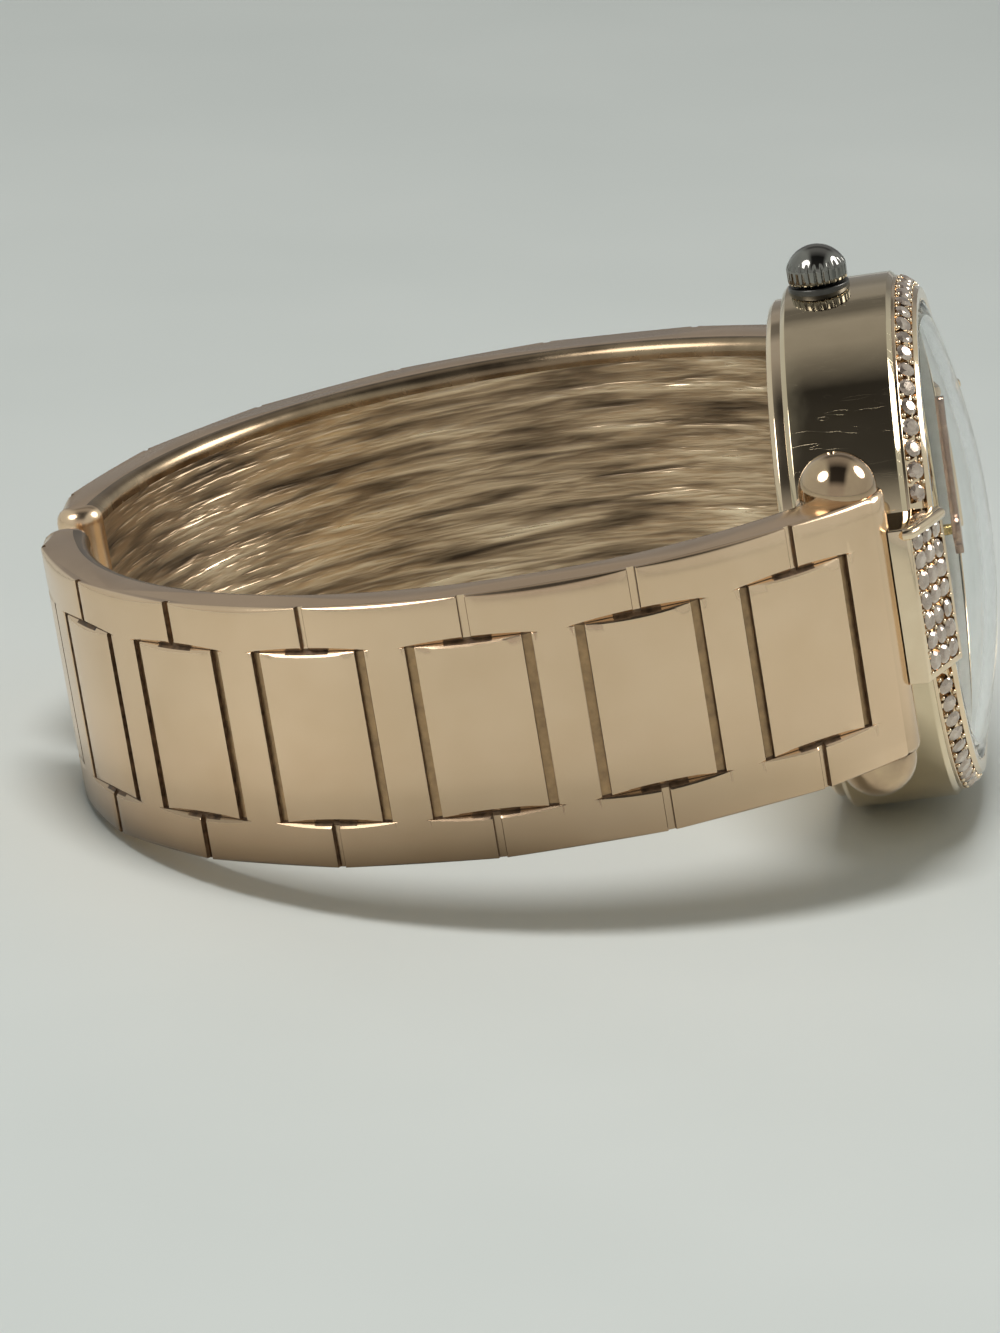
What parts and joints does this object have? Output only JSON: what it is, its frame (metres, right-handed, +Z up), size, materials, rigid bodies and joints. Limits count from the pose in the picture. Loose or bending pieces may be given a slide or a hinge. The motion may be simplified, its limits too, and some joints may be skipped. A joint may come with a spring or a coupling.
{
  "type": "cuff watch",
  "caption": "Round watch head with a stone-set bezel between two rigid, spring-hinged bangle arms, with a domed crystal, a fluted crown and a quartz movement.",
  "frame": {"origin": "centre of the base of the bounding box, on the table that the watch lies on; it lies on its side, on the case's back rim and on the free ends of the arms", "axes": "+X from the arms' free ends towards the crystal, +Y across both hinges from the 12 o'clock arm to the 6 o'clock arm, +Z up from the table towards the crown"},
  "size_m": [0.0581, 0.0596, 0.0345],
  "materials": {
    "rose_gold_case": "polished rose-gold plating",
    "rose_gold_arm": "fine brushed rose-gold plating, inside brushed round",
    "steel_back": "polished edge, brushed back",
    "steel_crown": "polished dark steel",
    "steel_inner": "satin",
    "stones": "clear faceted stones",
    "crystal": "clear domed crystal",
    "dial_paint": "satin pale paint",
    "rose_gold_hands": "polished",
    "rubber_black": "matte",
    "gasket_white": "satin",
    "ring_plastic": "matte",
    "movement_brass": "satin",
    "board_green": "satin solder mask",
    "coil_copper": "enamelled wire",
    "magnet": "satin"
  },
  "bodies": {
    "head": {"case_body": "rose_gold_case", "case_back": "steel_back", "case_back_gasket": "rubber_black", "bezel": "rose_gold_case", "bezel_stones": "stones", "crystal": "crystal", "crystal_gasket": "gasket_white", "dial": "dial_paint", "dial_markers": "rose_gold_hands", "crown_tube": "steel_crown", "end_link_front": "rose_gold_case", "end_link_rear": "rose_gold_case", "link_stones_front": "stones", "link_stones_rear": "stones", "hinge_spring_front": "steel_inner", "hinge_spring_rear": "steel_inner", "movement_ring": "ring_plastic", "main_plate": "movement_brass", "train_bridge": "steel_inner", "battery": "steel_inner", "battery_clip": "steel_inner", "circuit_board": "board_green", "quartz_can": "steel_inner", "coil": "coil_copper", "stator": "steel_inner"},
    "arm_front": {"arm_front": "rose_gold_arm", "hinge_pin_front": "steel_inner", "hinge_balls_front": "rose_gold_arm"},
    "arm_rear": {"arm_rear": "rose_gold_arm", "hinge_pin_rear": "steel_inner", "hinge_balls_rear": "rose_gold_arm"},
    "crown_seal": {"crown_gasket": "rubber_black"},
    "crown": {"crown": "steel_crown", "stem": "steel_inner", "clutch_pinion": "movement_brass"},
    "minute": {"minute_hand": "rose_gold_hands", "centre_wheel": "movement_brass"},
    "hour": {"hour_hand": "rose_gold_hands", "hour_wheel": "movement_brass"},
    "minute_wheel": {"minute_wheel": "movement_brass"},
    "intermediate": {"intermediate_wheel": "movement_brass"},
    "rotor": {"rotor": "magnet"}
  },
  "joints": [
    {"name": "front_arm_hinge", "type": "hinge", "parent": "head", "child": "arm_front", "pos_m": [0.02124, -0.01834, 0.01624], "axis": [-0.1716, 0, 0.9852], "range_deg": [0, 25], "stiffness_Nm_per_rad": 0.08, "springref_deg": -20.05},
    {"name": "rear_arm_hinge", "type": "hinge", "parent": "head", "child": "arm_rear", "pos_m": [0.02124, 0.01834, 0.01624], "axis": [0.1716, 0, -0.9852], "range_deg": [0, 25], "stiffness_Nm_per_rad": 0.08, "springref_deg": -20.05},
    {"name": "crown_pull", "type": "slide", "parent": "head", "child": "crown_seal", "axis": [-0.1716, 0, 0.9852], "range_m": [0, 0.001]},
    {"name": "crown_turn", "type": "hinge", "parent": "crown_seal", "child": "crown", "pos_m": [0.02046, 0, 0.01611], "axis": [-0.1716, 0, 0.9852], "continuous": true},
    {"name": "minute_turn", "type": "hinge", "parent": "head", "child": "minute", "pos_m": [0.01819, 0, 0.01571], "axis": [0.9852, 0, 0.1716], "continuous": true},
    {"name": "hour_turn", "type": "hinge", "parent": "head", "child": "hour", "pos_m": [0.01819, 0, 0.01571], "axis": [0.9852, 0, 0.1716], "continuous": true},
    {"name": "minute_wheel_turn", "type": "hinge", "parent": "head", "child": "minute_wheel", "pos_m": [0.0178, -0.00193, 0.01798], "axis": [0.9852, 0, 0.1716], "continuous": true},
    {"name": "intermediate_turn", "type": "hinge", "parent": "head", "child": "intermediate", "pos_m": [0.01789, 0.00304, 0.01744], "axis": [0.9852, 0, 0.1716], "continuous": true},
    {"name": "rotor_turn", "type": "hinge", "parent": "head", "child": "rotor", "pos_m": [0.01827, 0.00431, 0.01526], "axis": [0.9852, 0, 0.1716], "continuous": true}
  ],
  "couplings": [
    {"joint": "hour_turn", "follows": "minute_turn", "ratio": 0.083333},
    {"joint": "minute_wheel_turn", "follows": "minute_turn", "ratio": -0.33333},
    {"joint": "intermediate_turn", "follows": "minute_turn", "ratio": -12},
    {"joint": "rotor_turn", "follows": "minute_turn", "ratio": 90}
  ]
}
